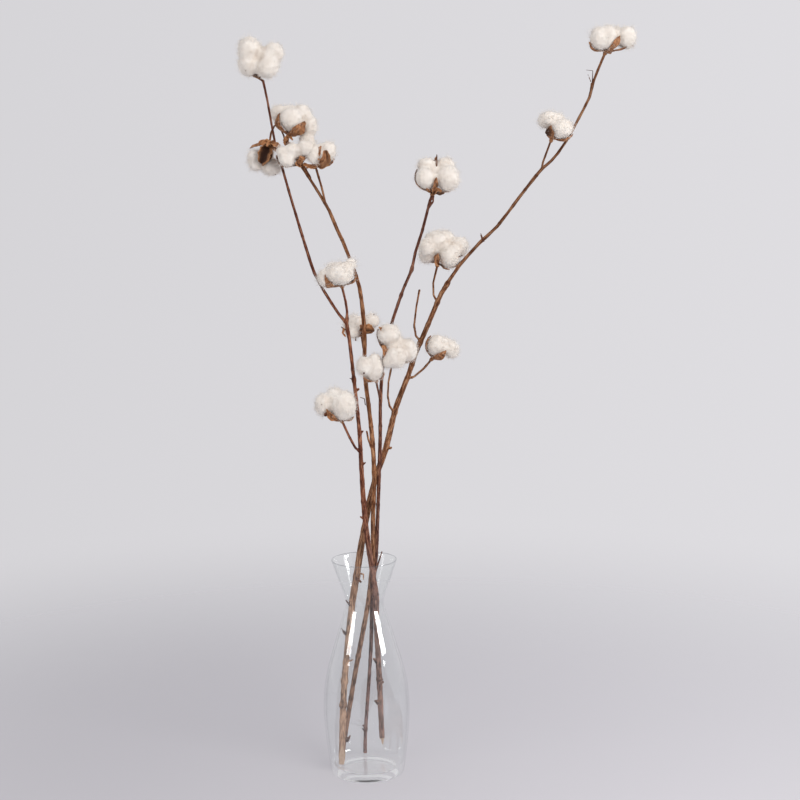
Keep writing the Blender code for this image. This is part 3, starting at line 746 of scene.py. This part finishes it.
# %% The four barks
BARKS = {  # stem: (slot, dark, warm, pale, and the grey of the glass's painted reflection)
    "stem_long": (
        "bark_grey_brown", (0.07, 0.024, 0.009), (0.26, 0.105, 0.048), (0.50, 0.28, 0.155),
        (0.37, 0.24, 0.165)),
    "stem_forked": (
        "bark_red_brown", (0.06, 0.016, 0.009), (0.225, 0.07, 0.036), (0.44, 0.21, 0.12),
        (0.25, 0.155, 0.125)),
    "stem_tall": (
        "bark_tan", (0.085, 0.028, 0.010), (0.29, 0.115, 0.05), (0.54, 0.29, 0.15),
        (0.24, 0.145, 0.1)),
    "stem_slender": (
        "bark_dark_red", (0.05, 0.015, 0.009), (0.18, 0.066, 0.040), (0.38, 0.19, 0.12),
        (0.19, 0.115, 0.1)),
}

for stem, (slot, *tones) in BARKS.items():
    bark = bark_finish(slot + "_finish", *tones)
    show(stem.replace("stem_", "bark_"), bark_shape(stem), bark, slot, stem)

# %% [markdown]
# ## Burs
#
# A bur is the boll's dry, woody shell. It has split into pointed valves that curl back:
# wrinkled and brown outside, smooth and straw-coloured inside, with thin pale edges. The
# packed valve is a folded plate, so its triangles are joined to four-sided faces, and a
# subdivision surface turns these into a curved shell.

# %% Bur measures
BUR_SHARP = math.radians(50)  # an edge that bends more keeps a crease
BUR_SKEW = math.radians(70)  # how far from square a joined face may be
BUR_CREASE = 0.35
BUR_LEVELS = 3
RIM_BEND = math.radians(35)  # a bend that is fully a rim
KNUCKLE = (2.5, 2.5, 3.6)  # radii in mm of the knob where the valves meet
KNUCKLE_DROP = 0.6  # mm
VALVE_LENGTH = 30 * MM
VEIN_FAN = 7  # how fast the veins change round the foot
VEIN_RUN = 60  # and away from it, per metre
WRINKLE_SCALE = 1.6
WRINKLE_NOISE = (0.8, 2.1, 4)  # (fall, gap, octaves)
WRINKLE = 0.35 * MM
INNER_CALM = 0.5  # the share that the smooth inside lacks
RAGGED_SCALE = 420  # per metre
RAGGED = 0.5  # mm
FEET = {  # where each bur sits on its stem, in mm
    "01": (-107, -17, 866), "02": (-79, -14, 781), "03": (-101, -17, 770),
    "04": (-66, -29, 749), "05": (-48, -33, 747), "06": (-20, -38, 607),
    "07": (2, -5, 545), "08": (18, -25, 493), "09": (40, -11, 518), "10": (-23, -41, 448),
    "11": (89, 14, 709), "12": (95, 33, 623), "13": (86, 6, 513), "14": (230, 10, 771),
    "15": (296, 30, 871),
}
NUDGES = {  # valves drawn up against their lint: boll: (place, reach, shift) in mm
    "03": ((-124, -22, 770), 13, (8, 0, -1)),
    "15": ((318, 26, 867), 16, (-3, 0, 5)),
}
PAINTED_SHADE_SPOTS = {  # painted shade in the deep insides of empty valves: boll: (place, radius) in mm
    "03": ((-104, -24, 760), 10),
    "11": ((96, 2, 714), 10),
    "14": ((224, 0, 781), 8),
}
print("feet:", len(FEET))


# %% Bur shape
def middle_of(node):
    """The middle of a packed solid's box."""
    low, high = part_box(node)
    return (low + high) / 2


def near(place, spot, radius):
    """1 at the spot and 0 beyond a radius from it, which are in mm."""
    away = (place - Vector(spot) * MM).length / (radius * MM)
    return max(0.0, 1.0 - away ** 4)


def curved_shell(node):
    """The folded plates as curved shells, whose points know how near a rim they are."""
    shape = welded(node)
    bmesh.ops.join_triangles(
        shape, faces=shape.faces[:], angle_face_threshold=BUR_SHARP,
        angle_shape_threshold=BUR_SKEW)
    crease = shape.edges.layers.float.new("crease_edge")
    for edge in shape.edges:
        if edge.calc_face_angle(0.0) > BUR_SHARP:
            edge[crease] = BUR_CREASE
    modified(shape, "SUBSURF", levels=BUR_LEVELS, render_levels=BUR_LEVELS)
    shape.normal_update()
    rim = shape.verts.layers.float.new("rim")
    for vertex in shape.verts:
        bend = max(edge.calc_face_angle(0.0) for edge in vertex.link_edges)
        vertex[rim] = min(1.0, bend / RIM_BEND)
    return shape


def bur_shape(number):
    """The bur. Its points also know if they are inside, how far out, and how deep in painted shade.
    """
    shape = curved_shell("bur_" + number)
    foot = Vector(FEET[number]) * MM
    middle = middle_of("lint_" + number)
    axis = (middle - foot).normalized()
    add_ball(shape, foot - axis * KNUCKLE_DROP * MM, KNUCKLE, axis)
    shape.normal_update()
    inner, tip, shade = [shape.verts.layers.float.new(name) for name in ("inner", "tip", "shade")]
    veins = shape.verts.layers.float_vector.new("veins")
    for vertex in shape.verts:
        out = vertex.co - foot
        vertex[inner] = 1.0 if vertex.normal.dot(middle - vertex.co) > 0 else 0.0
        vertex[tip] = out.length / VALVE_LENGTH
        vertex[veins] = out.normalized() * VEIN_FAN + out * VEIN_RUN
        # painted shade: how deep the point lies in a hollow that is painted dark
        vertex[shade] = near(vertex.co, *PAINTED_SHADE_SPOTS[number]) if number in PAINTED_SHADE_SPOTS else 0.0
        if number in NUDGES:
            spot, reach, shift = NUDGES[number]
            vertex.co += Vector(shift) * MM * near(vertex.co, spot, reach)
    for vertex in shape.verts:
        height = noise.fractal(vertex[veins] * WRINKLE_SCALE, *WRINKLE_NOISE)
        ragged = noise.noise_vector(vertex.co * RAGGED_SCALE) * RAGGED * MM
        calm = 1 - INNER_CALM * vertex[inner]
        vertex.co += vertex.normal * height * WRINKLE * calm + ragged
    shape.normal_update()
    return shape


print("first boll at", middle_of("lint_" + BOLLS[0]))

# %% [markdown]
# The finish tells the outside of a valve, brown with dark veins, from its paler inside. Dry
# tips look burnt. Thin rims let light through, and that light is painted on them as a pale straw
# colour. The hollow of an empty valve lies in its own shade, which is painted on, near black.

# %% Bur finish
OUTSIDE = [  # (noise, colour), from the veins' dark to the skin's pale
    (0.36, (0.070, 0.022, 0.008)), (0.45, (0.26, 0.110, 0.045)), (0.54, (0.42, 0.190, 0.085)),
    (0.68, (0.62, 0.35, 0.18))]
INSIDE = [
    (0.35, (0.09, 0.030, 0.012)), (0.52, (0.27, 0.115, 0.050)), (0.70, (0.50, 0.28, 0.14))]
BURNT = (0.06, 0.02, 0.009)
# painted light: the pale colour of the thin rims stands in for light passing through them
RIM_PAINTED_LIGHT = (0.52, 0.28, 0.135)
# painted shade: the near black of a valve's hollow
HOLLOW_PAINTED_SHADE = (0.022, 0.007, 0.003)


def bur_finish():
    """Dry shell: brown and veined outside, paler inside, burnt tips, rims painted pale as lit
    through, and painted shade in hollows.
    """
    bur = Finish("dry_bur_finish", Specular_IOR_Level=0.4)
    rim = bur.attribute("rim")
    inner = bur.attribute("inner")
    coarse = bur.noise(bur.place(), scale=160.0, detail=4.0, roughness=0.6)
    fine = bur.noise(bur.place(), scale=900.0, detail=3.0, roughness=0.6)
    veins = bur.noise(bur.attribute("veins", output=1), scale=1.3, detail=3.0, roughness=0.6)
    outside = bur.ramp(veins * 0.6 + coarse * 0.4, OUTSIDE)
    inside = bur.ramp(veins * 0.7 + fine * 0.3, INSIDE)
    shell = bur.mix(inner, outside, inside)
    far = bur.step(bur.attribute("tip") + coarse * 0.3, 0.95, 1.2)
    burnt = bur.mix(far * 0.6, shell, BURNT)
    # painted light: rims are painted pale, as lit through
    rim_lit = bur.mix(bur.step(rim, 0.72, 0.98) * 0.7, burnt, RIM_PAINTED_LIGHT)
    # painted shade: hollows are painted near black, all but their rims
    bur.wear(
        Base_Color=bur.mix(bur.attribute("shade") * (1 - rim * 0.7), rim_lit, HOLLOW_PAINTED_SHADE),
        Roughness=0.75 - inner * 0.2,
        Normal=bur.bump(coarse * 0.7 + fine * 0.3, 0.6 * MM, strength=0.7))
    return bur


dry_bur = bur_finish()
for number in BOLLS:
    show("shell_" + number, bur_shape(number), dry_bur, "dry_bur", "bur_" + number)

# %% [markdown]
# ## Lint
#
# Raw cotton has no hard surface. It is a heap of fine fibres that grew in locks, one for each
# chamber of the boll. Two layers make it: a soft lumpy body, and over it several thousand
# loose fibres. The body is the packed tuft, rebuilt as an even grid, smoothed, and pushed in
# and out by noise. Where two of its locks should be one, a ball of lint bridges them first.

# %% Lint body
LINT_VOXEL = 1.1 * MM
LINT_ROUNDS = 3
LINT_CLOSING = 2.0 * MM
LUMP_SCALE = 90  # per metre
LUMP_NOISE = (1.0, 2.2, 3)  # (fall, gap, octaves)
LUMP = 1.1 * MM
FILLERS = {  # locks that bridge others: boll: [(place, radii)] in mm
    "01": [((-122, -32, 875), (12, 12, 13)), ((-97, -33, 869), (11, 12, 11))],
    "02": [((-53, -12, 766), (8, 8, 9)), ((-58, -9, 776), (9, 9, 9))],
    "05": [((-49, -42, 760), (9, 7, 11))],
    "07": [((-8, -6, 548), (9, 6, 7))],
    "08": [((15, -29, 499), (10, 9, 6))],
    "09": [((34, -33, 517), (8, 8, 9))],
    "12": [((90, 32, 643), (11, 10, 9)), ((81, 24, 645), (9, 9, 11)), ((106, 40, 655), (9, 8, 9))],
    "13": [((96, 2, 528), (9, 9, 8))],
    "14": [((241, 6, 784), (12, 10, 11)), ((227, 12, 795), (11, 10, 9))],
}


def lint_body(number):
    """The tuft. Swelling it, making it one skin and shrinking it again fills the tight gaps."""
    shape = welded("lint_" + number)
    for place, radii in FILLERS.get(number, []):
        add_ball(shape, Vector(place) * MM, radii)
    for push in (LINT_CLOSING, -LINT_CLOSING):
        modified(shape, "REMESH", mode="VOXEL", voxel_size=LINT_VOXEL)
        smooth(shape, LINT_ROUNDS, SMOOTH_IN)
        for vertex in shape.verts:
            vertex.co += vertex.normal * push
    smooth(shape, LINT_ROUNDS, SMOOTH_IN)
    for vertex in shape.verts:
        lumps = noise.fractal(vertex.co * LUMP_SCALE, *LUMP_NOISE)
        vertex.co += vertex.normal * lumps * LUMP
    shape.normal_update()
    return shape


print("locks added:", sum(len(locks) for locks in FILLERS.values()))

# %% [markdown]
# Between two locks the lint looks warmer and darker, because light is caught there, and this
# shade is painted on. So each point looks about, and the share of the ways out that other lint
# closes is kept for the finish, which paints it as shade.

# %% Painted crease shade
CREASE_START = 0.4  # mm off the skin, where a look starts
CREASE_REACH = 11 * MM
CREASE_SLANT = 0.25  # flatter directions aren't looked along
COMPASS = [
    Vector((x, y, z)).normalized() for x in (-1, 0, 1) for y in (-1, 0, 1) for z in (-1, 0, 1)
    if (x, y, z) != (0, 0, 0)]


def paint_crease_shade(shape):
    """Gives each point the share of the ways out from it that other lint closes, for painted shade.
    """
    tree = BVHTree.FromBMesh(shape)
    crease = shape.verts.layers.float.new("crease")
    for vertex in shape.verts:
        start = vertex.co + vertex.normal * CREASE_START * MM
        ways = [way for way in COMPASS if way.dot(vertex.normal) > CREASE_SLANT]
        closed = sum(tree.ray_cast(start, way, CREASE_REACH)[0] is not None for way in ways)
        vertex[crease] = closed / len(ways)


print("ways out:", len(COMPASS))

# %% [markdown]
# The fibres are one curve object for each boll, with one short line for each fibre. A fibre
# starts just under the surface, leans over along it, and lifts its tip. The lean follows a
# slow noise, so that neighbours lie the same way, as combed fibres do. A thin round bevel
# makes the lines solid, and the whole is turned into a mesh.

# %% Loose fibres
FIBRES_PER_AREA = 0.36  # per square mm
FIBRE_RADIUS = 0.09 * MM
FIBRE = ((2.5, 7.0), (0.15, 0.75))  # (lengths in mm, lifts: 0 lies flat and 1 stands up)
WISP = ((7.0, 12.0), (0.25, 0.75))
WISP_SHARE = 0.05
SWIRL_SCALE = 90  # per metre
SWIRL_SHIFTS = (0, 31, 67)  # three reads of one noise give a direction
SWIRL = 2.0
WILDNESS = 0.45
CURL = 0.35
TIP_LEAN = 0.6  # the tip leans less, by this share of its lift
ROOT_DEPTH = 0.4  # mm
TIP_THINNING = 0.5


def scatter(dice, spread):
    return Vector([dice.gauss(0, spread) for _ in range(3)])


def fibre_line(root, normal, dice):
    """Three points: just under the surface, along it, and the lifted tip."""
    swirl = Vector([
        noise.noise(root * SWIRL_SCALE + Vector((shift, 0, 0))) for shift in SWIRL_SHIFTS])
    lean = swirl * SWIRL + scatter(dice, WILDNESS)
    lean -= lean.project(normal)
    lean.normalize()
    lengths, lifts = WISP if dice.random() < WISP_SHARE else FIBRE
    half = dice.uniform(*lengths) * MM * 0.5
    lift = dice.uniform(*lifts)
    knee = root + (lean * (1 - lift) + normal * lift) * half
    tip = knee + (lean * (1 - lift * TIP_LEAN) + normal * lift + scatter(dice, CURL)) * half
    return [root - normal * ROOT_DEPTH * MM, knee, tip]


def fibre_mesh(body, dice):
    """The tuft's fibres: the lines of one curve, turned into a mesh."""
    curve = bpy.data.curves.new("fibres", "CURVE")
    curve.dimensions = "3D"
    curve.bevel_depth = FIBRE_RADIUS
    curve.bevel_resolution = 0
    faces = list(body.faces)
    area = sum(face.calc_area() for face in faces) / MM ** 2
    for face in dice.choices(faces, k=int(area * FIBRES_PER_AREA)):
        line = curve.splines.new("POLY")
        line.points.add(2)
        places = fibre_line(face.calc_center_median(), face.normal, dice)
        for point, place in zip(line.points, places):
            point.co = (*place, 1.0)
        line.points[2].radius = TIP_THINNING
    return refilled(bmesh.new(), add_object("fibres", curve))


print("fibres per square mm:", FIBRES_PER_AREA)

# %% [markdown]
# Lint is matt, and a little light passes through it, so it gets some subsurface scattering. Its
# cream white drifts slowly from place to place, and shade is painted on in the creases as a warm,
# darker tone. The body and its fibres share the one finish.

# %% Lint finish
LINT_TONES = [(0.3, (0.83, 0.775, 0.715)), (0.7, (0.92, 0.88, 0.83))]
# painted shade in the creases between locks
CREASE_PAINTED_SHADE = (0.56, 0.46, 0.37)
CREASE_SHADE_GAIN = 1.5


def lint_finish():
    lint = Finish(
        "cotton_lint_finish", Roughness=0.95, Specular_IOR_Level=0.1, Subsurface_Weight=0.25,
        Subsurface_Radius=(1.0, 0.95, 0.9), Subsurface_Scale=0.004)
    drift = lint.noise(lint.place(), scale=70.0, detail=3.0)
    tufts = lint.noise(lint.place(), scale=900.0, detail=4.0, roughness=0.65)
    open_lint = lint.ramp(drift, LINT_TONES)
    # painted shade: the creases are painted warm and dark
    lint.wear(
        Base_Color=lint.mix(lint.attribute("crease") * CREASE_SHADE_GAIN, open_lint, CREASE_PAINTED_SHADE),
        Normal=lint.bump(tufts, 0.8 * MM, strength=0.6))
    return lint


cotton_lint = lint_finish()
dice = random.Random(SEED)
for number in BOLLS:
    body = lint_body(number)
    paint_crease_shade(body)
    fuzz = fibre_mesh(body, dice)
    show("fluff_" + number, body, cotton_lint, "cotton_lint", "lint_" + number)
    show("fibres_" + number, fuzz, cotton_lint, "cotton_lint")

# %% [markdown]
# ## Dried bits
#
# Between bur and stalk hangs what is left of the small leaves that wrapped the young boll. A
# leaf is a grid of faces laid along a line, cupped, made thick and smoothed, and it wears the
# burs' finish. The broad ones are loose valves, with shade painted over one side of them.

# %% Leaf places
LEAVES = [  # (line, half width) in mm, and painted shade: 1 darkens one half, 2 nearly all
    ([(-101, -19, 770), (-108, -27, 775), (-116, -29, 772)], 3.0),
    ([(-101, -20, 770), (-105, -30, 775), (-111, -33, 771)], 3.5),
    ([(-100, -20, 770), (-101, -31, 774), (-104, -34, 769)], 3.0),
    ([(-100, -20, 770), (-96, -30, 773), (-94, -33, 768)], 3.5),
    ([(-99, -19, 770), (-92, -26, 771), (-88, -28, 765)], 3.0),
    ([(-100, -20, 769), (-94, -28, 766), (-92, -30, 760)], 2.5),
    ([(-103, -25, 769), (-107, -29, 761), (-111, -30, 749)], 7.8, 2.0),
    ([(-79, -16, 780), (-82, -22, 778), (-86, -20, 775)], 2.0),
    ([(-79, -16, 780), (-76, -23, 779), (-73, -22, 775)], 2.0),
    ([(-80, -15, 779), (-84, -17, 774), (-82, -17, 769)], 1.6),
    ([(-109, -22, 849), (-114, -26, 851), (-119, -26, 852)], 4.2, 1.3),
    ([(0, -12, 553), (8, -14, 553), (18, -12, 550)], 5.5, 1.4),
    ([(25, -33, 554), (24, -37, 556), (22, -39, 558)], 2.2),
    ([(-19, -12, 554), (-20, -13, 548), (-16, -12, 543)], 1.4),
    ([(31, -30, 521), (29, -34, 529), (26, -34, 537)], 3.8),
    ([(-40, -52, 461), (-37, -56, 453), (-30, -54, 450)], 1.6),
    ([(-66, -33, 748), (-68, -44, 750), (-64, -49, 757)], 4.5),
    ([(-48, -36, 746), (-57, -42, 747), (-62, -41, 752)], 3.0),
    ([(-45, -38, 748), (-37, -49, 754), (-36, -50, 767)], 6.5, 1.0),
    ([(89, 11, 709), (95, 2, 714), (100, 0, 711)], 3.0),
    ([(89, 11, 709), (90, 1, 716), (92, -6, 723)], 3.0),
    ([(89, 12, 709), (84, 4, 714), (80, 2, 716)], 2.5),
    ([(95, 30, 623), (93, 18, 628), (94, 10, 637)], 4.0),
]
print("leaves:", len(LEAVES))

# %% Leaves
LEAF_GRID = {"x_segments": 4, "y_segments": 10}
LEAF_FRONT = Vector((0.3, -1.0, 0.4))  # leaves turn their flat side this way
LEAF_FOOT = 0.12  # the width follows half a wave, from this share of it
LEAF_SPAN = 0.86  # for this much
LEAF_FULLNESS = 0.6
LEAF_FRAY = 0.6
LEAF_CUP = 0.6
LEAF_THICKNESS = 0.5 * MM
LEAF_CRUMPLE = 0.8  # mm
CRUMPLE_SCALE = 300  # per metre


def add_leaf(shape, layers, line, width, dark=0.0):
    """A flat grid, laid along the line. The points get the marks that the bur finish reads."""
    points = smooth_line(line, 1.0)
    leaf = bmesh.ops.create_grid(shape, size=1.0, **LEAF_GRID)["verts"]
    for vertex in leaf:
        across, share = vertex.co.x, (vertex.co.y + 1) / 2
        step = min(len(points) - 2, int(share * (len(points) - 1)))
        along = (points[step + 1] - points[step]).normalized()
        side = along.cross(LEAF_FRONT).normalized()
        frayed = 1 + noise.noise(points[step] * 0.9 + side * across) * LEAF_FRAY
        swell = math.sin(math.pi * (LEAF_FOOT + share * LEAF_SPAN)) ** LEAF_FULLNESS
        half = width * swell * frayed
        cupped = side.cross(along) * across ** 2 * half * LEAF_CUP
        vertex.co = (points[step] + side * across * half + cupped) * MM
        vertex[layers["rim"]] = abs(across) ** 4
        vertex[layers["tip"]] = share * 0.9
        # painted shade: one half of the leaf is painted dark, nearly all of it when dark is 2
        vertex[layers["shade"]] = min(1.0, dark * max(0.0, across + dark - 1))
        vertex[layers["veins"]] = Vector((across * 2.5, share * 1.2, width)) + points[0] * 0.2


def leaves_shape():
    shape = bmesh.new()
    layers = {name: shape.verts.layers.float.new(name) for name in ("rim", "inner", "tip", "shade")}
    layers["veins"] = shape.verts.layers.float_vector.new("veins")
    for leaf in LEAVES:
        add_leaf(shape, layers, *leaf)
    modified(shape, "SOLIDIFY", thickness=LEAF_THICKNESS, offset=0.0)
    modified(shape, "SUBSURF", levels=1, render_levels=1)
    for vertex in shape.verts:
        vertex.co += noise.noise_vector(vertex.co * CRUMPLE_SCALE) * LEAF_CRUMPLE * MM
    return shape


show("dried_leaves", leaves_shape(), dry_bur, "dry_bur")

# %% [markdown]
# The stems keep a few thorns, threads and stubs of twigs, and flecks of seed coat are caught in
# the lint. Each is a thin cone between two places, or two in a row where it bends. They share a
# dark bark of their own.

# %% Thorns and seeds
THORNS = [  # (start, end, radius at the start, radius at the end) in mm
    ((280, 28, 831), (281, 28, 850), 0.7, 0.35), ((281, 28, 850), (273, 28, 851), 0.35, 0.2),
    ((5, -17, 462), (4, -19, 470), 0.6, 0.5), ((4, -19, 470), (-1, -20, 472), 0.5, 0.4),
    ((236, 6, 771), (247, 4, 772), 1.3, 0.8), ((247, 4, 772), (254, 4, 778), 0.8, 0.4),
    ((-16, -6, 550), (-22, -8, 555), 0.9, 0.5), ((-5, -5, 544), (-5, -8, 538), 1.1, 0.6),
    ((28, -30, 551), (24, -24, 555), 1.2, 0.7), ((115, 22, 631), (124, 18, 635), 0.8, 0.5),
    ((4, -29, 507), (4, -42, 504), 1.4, 1.0), ((-41, -46, 461), (-42, -55, 457), 2.2, 1.8),
    ((-9, -31, 495), (-13, -32, 497), 1.0, 0.3),
    ((-9, -3, 247), (-4, -7, 243), 1.8, 1.2),
    ((-18, -2, 213), (-23, -3, 220), 1.6, 0.5), ((-24, -2, 177), (-29, -3, 185), 1.5, 0.4),
    ((-23, -1, 140), (-17, -2, 145), 1.3, 0.4), ((-25, 13, 36), (-21, 11, 44), 1.9, 0.9),
    ((12, -3, 221), (17, -4, 227), 2.2, 1.2), ((13, 19, 134), (9, 17, 140), 1.5, 0.6),
    ((16, 21, 110), (21, 19, 113), 1.4, 0.5), ((14, 26, 79), (10, 24, 84), 1.6, 0.9),
    ((-3, 33, 42), (-6, 32, 46), 1.1, 0.5), ((94, 12, 738), (95, 18, 755), 1.8, 0.5),
    ((149, 16, 651), (146, 15, 661), 1.7, 0.4),
]
SEEDS = [  # dark flecks caught in the lint: (place, radius) in mm
    ((-125, -43, 857), 0.8), ((-46, -56, 470), 0.8), ((-123, -22, 746), 0.7),
    ((-95, -20, 737), 0.8), ((17, 4, 567), 0.9),
]
SEED_DEPTH = 3.0  # mm into the lint
THORN_SIDES = 8


def add_thorn(shape, start, end, thick, thin):
    """A cone from one place to the other, made upright and then turned."""
    start, end = Vector(start) * MM, Vector(end) * MM
    thorn = bmesh.ops.create_cone(
        shape, cap_ends=True, segments=THORN_SIDES, radius1=thick * MM, radius2=thin * MM,
        depth=(end - start).length)["verts"]
    turned = (end - start).to_track_quat("Z", "Y").to_matrix()
    bmesh.ops.rotate(shape, cent=(0, 0, 0), matrix=turned, verts=thorn)
    bmesh.ops.translate(shape, vec=(start + end) / 2, verts=thorn)


def thorns_shape():
    shape = bmesh.new()
    for thorn in THORNS:
        add_thorn(shape, *thorn)
    for (x, y, z), radius in SEEDS:
        add_thorn(shape, (x, y + SEED_DEPTH, z), (x, y - 1, z), radius, radius / 2)
    grain = shape.verts.layers.float_vector.new("grain")
    for vertex in shape.verts:
        vertex[grain] = vertex.co * ALONG
    return shape


thorn_bark = bark_finish(
    "thorn_bark_finish", (0.05, 0.015, 0.008), (0.14, 0.05, 0.025), (0.26, 0.12, 0.06),
    (0.14, 0.085, 0.07))
show("thorns", thorns_shape(), thorn_bark, "bark_dark_red")

# %% [markdown]
